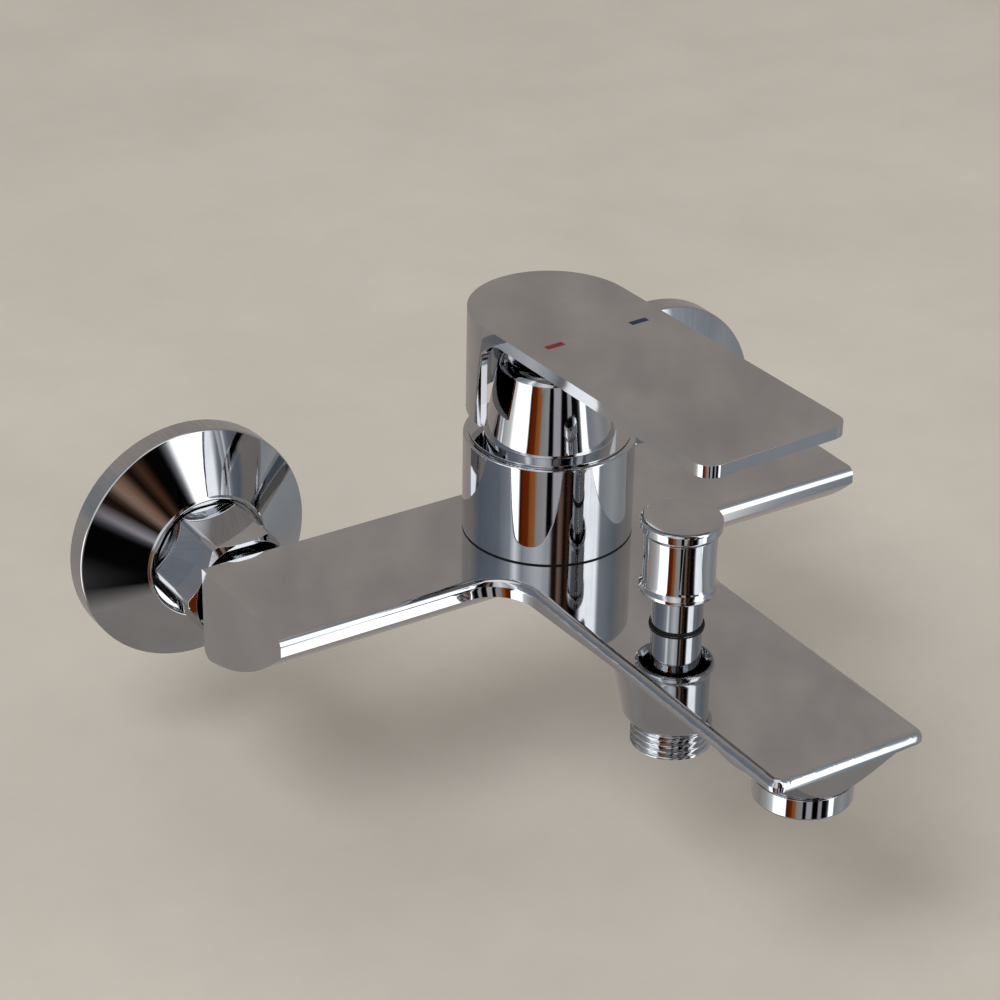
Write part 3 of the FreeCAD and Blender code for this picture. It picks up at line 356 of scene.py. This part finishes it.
def mergedCopy(node):
    # the frame's loose triangles joined up, and flat runs of them made single faces
    mesh = frame["nodes"][node].data.copy()
    mesh.name = node + "_plated"
    bm = bmesh.new()
    bm.from_mesh(mesh)
    bmesh.ops.remove_doubles(bm, verts=bm.verts, dist=weld["frame"])
    flat = math.radians(weld["flatDegrees"])
    bmesh.ops.dissolve_limit(bm, angle_limit=flat, verts=bm.verts, edges=bm.edges)
    bm.to_mesh(mesh)
    bm.free()
    mesh.shade_smooth()
    mesh.set_sharp_from_angle(angle=math.radians(edgeDegrees))
    piece = bpy.data.objects.new(mesh.name, mesh)
    bpy.context.scene.collection.objects.link(piece)
    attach(piece, bodyOf[node])
    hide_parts(node)
    return piece


for node, edgeBreak in platedPieces.items():
    softenEdges(mergedCopy(node), edgeBreak)
print("plated pieces:", len(platedPieces))


# escutcheons: spun roses with an upright lip, a cone, an edge rolled round the nut and a threaded web

# millimetres; each list of rounds goes along the profile in order
rose = {
    "lip": 6.2, "lipRound": 0.8, "wall": 1.0, "innerRound": 0.5,
    "roll": 1.3, "rollRounds": (0.4, 0.35, 0.2),
    "nutGap": 16.55, "hub": 13.25, "web": (11.35, 13.4), "webRounds": (0.15, 0.3),
    "segments": 256,
}


def addEscutcheon(side):
    # profile of (radius, reach from the wall, rounding), run once round the pipe's axis
    node = side + "_escutcheon"
    low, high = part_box(node)
    out = (high[0] - low[0]) / 2 / mm
    deep = -low[1] / mm
    inner, roll, wall, hub = (rose[k] for k in ("nutGap", "roll", "wall", "hub"))
    webBack, webFront = rose["web"]
    outerRoll, topRoll, innerRoll = rose["rollRounds"]
    frontRound, backRound = rose["webRounds"]
    corners = [
        (out, 0, 0), (out, rose["lip"], rose["lipRound"]),
        (inner + roll, deep - roll / 2, outerRoll), (inner + roll / 2, deep, topRoll),
        (inner, deep - roll / 2, innerRoll), (inner, webFront, frontRound),
        (hub, webFront, 0), (hub, webBack, 0), (inner + roll / 2, webBack, backRound),
        (out - wall, rose["lip"] - wall, rose["innerRound"]), (out - wall, 0, 0),
    ]
    profile = roundedProfile([(r * mm, h * mm, rounding * mm) for r, h, rounding in corners])
    grid = spunGrid(profile, (low + high) / 2, rose["segments"])
    flattenNormals(addPiece(side + "_rose", grid, node))


for side in ("left", "right"):
    addEscutcheon(side)
print("escutcheons spun")


# screw threads

# G 1/2 pipe thread: 14 turns to the inch, 55 degree flanks, crest and root rounded alike. Crest and
# flank are shares of half a turn, fade is in turns
pipeThread = {
    "pitch": 1.814 * mm, "depth": 1.162 * mm, "crest": 0.17, "flank": 0.66, "fade": 0.5,
    "stepsPerTurn": 14, "round": 96, "sharpDegrees": 40,
}


def threadedGrid(rows, axisX, along):
    # rows of (height, centre offset, radius, thread share). A point at angle a and height h stands at
    # radius - share * depth * rootness, where rootness is lowest on the crest and 1 in the root and
    # depends on h / pitch - a / full turn, which is what makes the ridge a helix
    height, offset, radius, share = (np.asarray(rows, float)[:, k:k + 1] for k in range(4))
    angle = np.linspace(0, 2 * math.pi, pipeThread["round"], endpoint=False)[None, :]
    phase = height / pipeThread["pitch"] - angle / (2 * math.pi)
    triangle = np.abs(2 * (phase - np.floor(phase)) - 1)
    rootness = np.clip((triangle - pipeThread["crest"]) / pipeThread["flank"], 0, 1)
    rootness = rootness * rootness * (3 - 2 * rootness) * 0.5 + rootness * 0.5  # half eased, half straight
    r = radius - share * pipeThread["depth"] * rootness
    a, b, h = r * np.cos(angle), r * np.sin(angle) + offset, height + 0 * angle
    if along == "Y":
        return np.stack([axisX + a, h, b], -1)
    return np.stack([axisX + a, b, h], -1)


def threadRows(start, end, offset, radius):
    # close-set rows from start to end, the thread fading in and out at the two ends
    count = max(2, int(abs(end - start) / pipeThread["pitch"] * pipeThread["stepsPerTurn"]))
    h = np.linspace(start, end, count)
    fade = np.minimum(np.abs(h - start), np.abs(h - end)) / (pipeThread["fade"] * pipeThread["pitch"])
    return [(z, offset, radius, share) for z, share in zip(h, np.clip(fade, 0, 1))]


nipple = {
    "crest": 10.48 * mm, "shank": 10.0 * mm, "bore": 6.6 * mm, "threadTop": -7.5 * mm,
    "leadIn": 0.5 * mm, "leadHeight": 0.3 * mm, "boreLeadIn": 0.5 * mm,
}


def addShowerNipple():
    # threaded tube under the diverter: lead-in, thread, plain shank up into the casting, and its bore
    node = "shower_outlet"
    low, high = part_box(node)
    axisY = ((low + high) / 2)[1]
    foot, head = low[2], high[2]
    top = min(nipple["threadTop"], head)
    crest, shank, bore, boreLead = (nipple[k] for k in ("crest", "shank", "bore", "boreLeadIn"))
    rows = [(foot, axisY, bore + boreLead, 0), (foot, axisY, crest - nipple["leadIn"], 0)]
    rows += threadRows(foot + nipple["leadHeight"], top, axisY, crest)
    rows += [(top, axisY, shank, 0), (head, axisY, shank, 0), (head, axisY, bore, 0)]
    rows += [(foot + boreLead, axisY, bore, 0)]
    addPiece("shower_nipple", threadedGrid(rows, 0, "Z"), node, pipeThread["sharpDegrees"])


union = {
    "wallThread": 10.48 * mm, "nutThread": 13.22 * mm, "bore": 7.0 * mm, "offset": 7.5 * mm,
    "kneeBack": -3 * mm, "kneeFront": -11 * mm, "leadIn": 0.6 * mm, "runOut": 1.5 * mm,
}


def addUnion(side):
    # eccentric union: threaded end in the wall, slanting middle, larger threaded end in the nut
    node = side + "_union"
    low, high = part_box(node)
    end, front = high[1], low[1]
    small, large, bore, drop = (union[k] for k in ("wallThread", "nutThread", "bore", "offset"))
    back, ahead, lead = (union[k] for k in ("kneeBack", "kneeFront", "leadIn"))
    rows = [(end, 0, bore + lead, 0), (end, 0, small - lead, 0)]
    rows += threadRows(end - lead, back + union["runOut"], 0, small)
    rows += [(back, 0, small, 0), (ahead, drop, small, 0), (ahead, drop, large - lead, 0)]
    rows += threadRows(ahead - lead, front + lead, drop, large)
    rows += [(front, drop, large - lead, 0), (front, drop, bore, 0), (ahead, drop, bore, 0)]
    rows += [(back, 0, bore, 0), (end - lead, 0, bore, 0)]
    grid = threadedGrid(rows, (low[0] + high[0]) / 2, "Y")
    addPiece(side + "_union_turned", grid, node, pipeThread["sharpDegrees"])


addShowerNipple()
for side in ("left", "right"):
    addUnion(side)
print("threads cut")


# stage, light and camera

view = {
    "azimuth": -32.97,
    "elevation": 28.72,
    "roll": 1.16,
    "distance": 816 * mm,
    "lens": 111.2,
    "sensor": 36,
    "aim": (-7.3 * mm, -51.6 * mm, 23.1 * mm),
}


def addCamera():
    az, el, roll = (math.radians(view[k]) for k in ("azimuth", "elevation", "roll"))
    back = Vector((math.sin(az) * math.cos(el), -math.cos(az) * math.cos(el), math.sin(el)))
    level = Vector((math.cos(az), math.sin(az), 0))
    above = back.cross(level)
    right = level * math.cos(roll) + above * math.sin(roll)
    up = above * math.cos(roll) - level * math.sin(roll)
    data = bpy.data.cameras.new("camera")
    data.lens = view["lens"]
    data.sensor_width = view["sensor"]
    camera = bpy.data.objects.new("camera", data)
    turn = Matrix((right, up, back)).transposed().to_4x4()
    camera.matrix_world = Matrix.Translation(Vector(view["aim"]) + back * view["distance"]) @ turn
    bpy.context.scene.collection.objects.link(camera)
    bpy.context.scene.camera = camera


floorLook = {"gap": 30 * mm, "half": 4.0, "light": "#dbd5cc", "dark": "#cfc9c0", "patchesPerMetre": 9.0}


def addFloor():
    # pale plaster floor, a little below the lowest point; the plating mirrors the room instead of it
    low = cadBox[0][2] - floorLook["gap"]
    half = floorLook["half"]
    corners = [(-half, -half, low), (half, -half, low), (half, half, low), (-half, half, low)]
    mesh = bpy.data.meshes.new("floor")
    mesh.from_pydata(corners, [], [(0, 1, 2, 3)])
    floor = bpy.data.objects.new("floor", mesh)
    floor.visible_glossy = False
    bpy.context.scene.collection.objects.link(floor)
    m, tree, shader, place = newMaterial("paleFloor", Roughness=0.85)
    mottle = addNode(tree, "ShaderNodeTexNoise", Vector=place, Scale=floorLook["patchesPerMetre"],
                     Detail=8.0, Roughness=0.65).outputs[0]
    colour = addNode(tree, "ShaderNodeValToRGB", Fac=mottle, stops=[
        (0.3, linear(floorLook["dark"])), (0.7, linear(floorLook["light"]))]).outputs[0]
    tree.links.new(colour, shader.inputs["Base Color"])
    mesh.materials.append(m)


# each lamp's place and the point it faces in metres, its width and height in metres, and its watts
softboxes = {
    "keyBox": ((-0.9, -0.5, 1.3), (0, -0.1, 0), (0.7, 0.7), 10),
    "fillBox": ((1.2, -0.9, 0.8), (0, -0.1, 0), (0.5, 1.0), 4),
}


def addSoftbox(name, place, aim, size, watts):
    # a lamp that lights the floor and the matt parts, and that the plating doesn't mirror
    data = bpy.data.lights.new(name, "AREA")
    data.shape = "RECTANGLE"
    data.size, data.size_y = size
    data.energy = watts
    lamp = bpy.data.objects.new(name, data)
    lamp.visible_camera = False
    lamp.visible_glossy = False
    direction = Vector(place) - Vector(aim)
    turn = direction.to_track_quat("Z", "Y").to_matrix().to_4x4()
    lamp.matrix_world = Matrix.Translation(place) @ turn
    bpy.context.scene.collection.objects.link(lamp)


# the room that the plating mirrors, below and above eye level: bearing in degrees from the middle of
# the front, colour, brightness
lowCards = [
    (-180, "#9f9690", 1.0), (-128, "#9f9690", 1.0), (-112, "#9a938e", 0.95), (-90, "#b2b0ae", 1.0),
    (-74, "#dcdcdc", 1.1), (-68, "#ffffff", 2.0), (-40, "#ffffff", 2.0), (-38, "#4c1c0c", 0.5),
    (-34, "#702a0e", 0.8), (-26, "#7a3012", 0.8), (-25, "#9a5424", 0.9), (-18, "#a5683a", 0.9),
    (-15, "#9c9a98", 0.9), (-3, "#a3a1a2", 1.0), (-1, "#0f0f0f", 0.3), (5, "#0f0f0f", 0.3),
    (7, "#b4afb6", 1.0), (18, "#b4afb6", 1.0), (20, "#0c0c0c", 0.3), (31, "#0c0c0c", 0.3),
    (33, "#a8a2a8", 1.0), (40, "#a8a2a8", 1.0), (42, "#0f0f0f", 0.3), (51, "#1c1b1b", 0.4),
    (56, "#74787d", 0.9), (59, "#ffffff", 2.0), (69, "#ffffff", 2.0), (72, "#8a9096", 1.0),
    (96, "#a3a4a6", 1.0), (116, "#8f9194", 1.0), (140, "#9f9690", 1.0), (180, "#9f9690", 1.0),
]
highCards = [
    (-180, "#9e9690", 1.0), (-125, "#9e9690", 1.0), (-105, "#767c86", 1.0), (-70, "#878d96", 1.0),
    (-52, "#b4b8bf", 1.0), (-44, "#ffffff", 1.4), (-34, "#aeb2b8", 1.0), (-14, "#e6e6e8", 1.2),
    (3, "#d0d0d2", 1.0), (7, "#4a342a", 0.6), (12, "#20140e", 0.5), (15, "#a08474", 0.9),
    (19, "#8a6a58", 0.8), (22, "#140c08", 0.4), (27, "#5e4030", 0.7), (32, "#101010", 0.3),
    (40, "#101010", 0.3), (44, "#8b8e92", 0.9), (48, "#ffffff", 2.0), (70, "#ffffff", 2.0),
    (76, "#a4a9b0", 1.0), (104, "#858a90", 1.0), (125, "#9e9690", 1.0), (180, "#9e9690", 1.0),
]


# colour and brightness of the rest of the room; heights are sines of elevation that a blend runs
# between, and the mottle breaks up the upper ring
room = {
    "below": ("#8d8884", 1.0), "overhead": ("#f4f4f4", 1.15), "unmirrored": ("#e6e2dc", 0.62),
    "heights": {"below": (-0.78, -0.62), "horizon": (-0.05, 0.1), "overhead": (0.9, 0.96)},
    "mottle": 55.0, "mottleRange": (0.8, 1.2),
}


def cardWall(tree, share, cards):
    # one ring of cards: a colour ramp round the horizon, and a second one for how bright each stands
    peak = max(b for _, _, b in cards)
    places = [(d + 180) / 360 for d, _, _ in cards]
    tints = [linear(c) for _, c, _ in cards]
    greys = [(b / peak, b / peak, b / peak, 1) for _, _, b in cards]
    colours = addNode(tree, "ShaderNodeValToRGB", Fac=share, stops=list(zip(places, tints))).outputs[0]
    levels = addNode(tree, "ShaderNodeValToRGB", Fac=share, stops=list(zip(places, greys))).outputs[0]
    level = addNode(tree, "ShaderNodeMath", {"operation": "MULTIPLY"}, _0=levels, _1=peak).outputs[0]
    return colours, level


def addRoom():
    # the plating mirrors two rings of coloured cards, a grey patch straight below and a white one
    # overhead; everything else in the scene sees an even pale room
    world = bpy.data.worlds.new("room")
    world.use_nodes = True
    tree = world.node_tree
    tree.nodes.clear()
    direction = addNode(tree, "ShaderNodeTexCoord").outputs["Generated"]
    az = math.radians(view["azimuth"])
    dot = {"operation": "DOT_PRODUCT"}
    forward, sideways = (
        addNode(tree, "ShaderNodeVectorMath", dot, _0=direction, _1=axis).outputs["Value"]
        for axis in ((math.sin(az), -math.cos(az), 0), (math.cos(az), math.sin(az), 0))
    )
    bearing = addNode(tree, "ShaderNodeMath", {"operation": "ARCTAN2"}, _0=sideways, _1=forward).outputs[0]
    share = addNode(tree, "ShaderNodeMapRange", Value=bearing, From_Min=-math.pi, From_Max=math.pi).outputs[0]
    up = addNode(tree, "ShaderNodeSeparateXYZ", Vector=direction).outputs[2]

    lowColour, lowLevel = cardWall(tree, share, lowCards)
    highColour, highLevel = cardWall(tree, share, highCards)
    mottle = addNode(tree, "ShaderNodeTexNoise", Vector=direction, Scale=room["mottle"], Detail=8.0,
                     Roughness=0.72).outputs[0]
    faint, strong = room["mottleRange"]
    blotch = addNode(tree, "ShaderNodeMapRange", Value=mottle, From_Min=0.3, From_Max=0.7,
                     To_Min=faint, To_Max=strong).outputs[0]
    highLevel = addNode(tree, "ShaderNodeMath", {"operation": "MULTIPLY"}, _0=highLevel, _1=blotch).outputs[0]

    glow = {"low": (lowColour, lowLevel), "high": (highColour, highLevel)}
    for name in ("below", "overhead", "unmirrored"):
        hexColour, strength = room[name]
        glow[name] = (linear(hexColour), strength)
    for name, (colour, strength) in glow.items():
        glow[name] = addNode(tree, "ShaderNodeBackground", Color=colour, Strength=strength).outputs[0]
    edge = {}
    for name, (start, end) in room["heights"].items():
        edge[name] = addNode(tree, "ShaderNodeMapRange", Value=up, From_Min=start, From_Max=end).outputs[0]
    edge["mirrored"] = addNode(tree, "ShaderNodeLightPath").outputs["Is Glossy Ray"]

    blends = [
        ("rings", "horizon", "low", "high"), ("lower", "below", "below", "rings"),
        ("whole", "overhead", "lower", "overhead"), ("seen", "mirrored", "unmirrored", "whole"),
    ]
    for name, factor, first, second in blends:
        glow[name] = addNode(tree, "ShaderNodeMixShader", _0=edge[factor], _1=glow[first],
                             _2=glow[second]).outputs[0]
    addNode(tree, "ShaderNodeOutputWorld", Surface=glow["seen"])
    bpy.context.scene.world = world


bpy.context.scene.view_settings.view_transform = "Standard"
addCamera()
addFloor()
addRoom()
for name, settings in softboxes.items():
    addSoftbox(name, *settings)
print("stage set")
